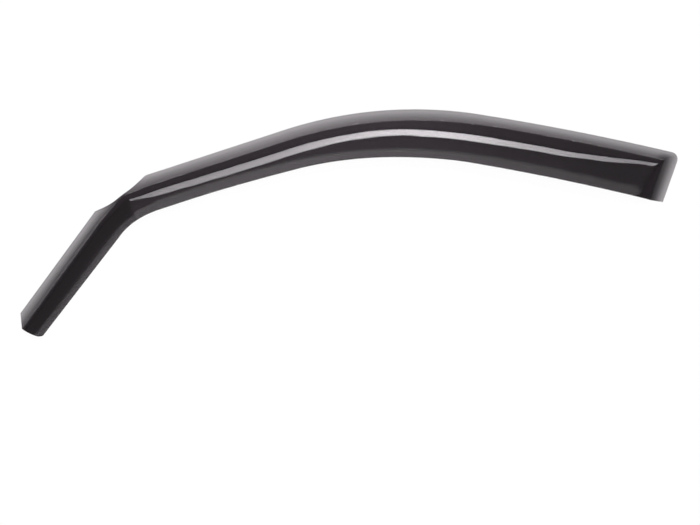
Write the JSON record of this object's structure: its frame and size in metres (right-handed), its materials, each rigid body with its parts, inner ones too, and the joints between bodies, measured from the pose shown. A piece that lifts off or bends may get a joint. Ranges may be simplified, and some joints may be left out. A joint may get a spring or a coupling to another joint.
{
  "type": "window rain deflector",
  "caption": "Smoked acrylic in-channel rain deflector for a front door window: thin flange, step, leaning visor, closed rear end and a leg that runs down the windscreen pillar.",
  "frame": {"origin": "middle of the bounding box in the plan, on the plane of the flange's back face", "axes": "+Z out of the outer face, +X along the roof rail towards the rear end, +Y towards the roof; the leg for the windscreen pillar lies at -X"},
  "size_m": [0.7886, 0.2726, 0.0207],
  "materials": {
    "smoked_acrylic": "gloss, clear-through dark smoke tint"
  },
  "bodies": {
    "root": {"deflector": "smoked_acrylic"}
  },
  "joints": []
}
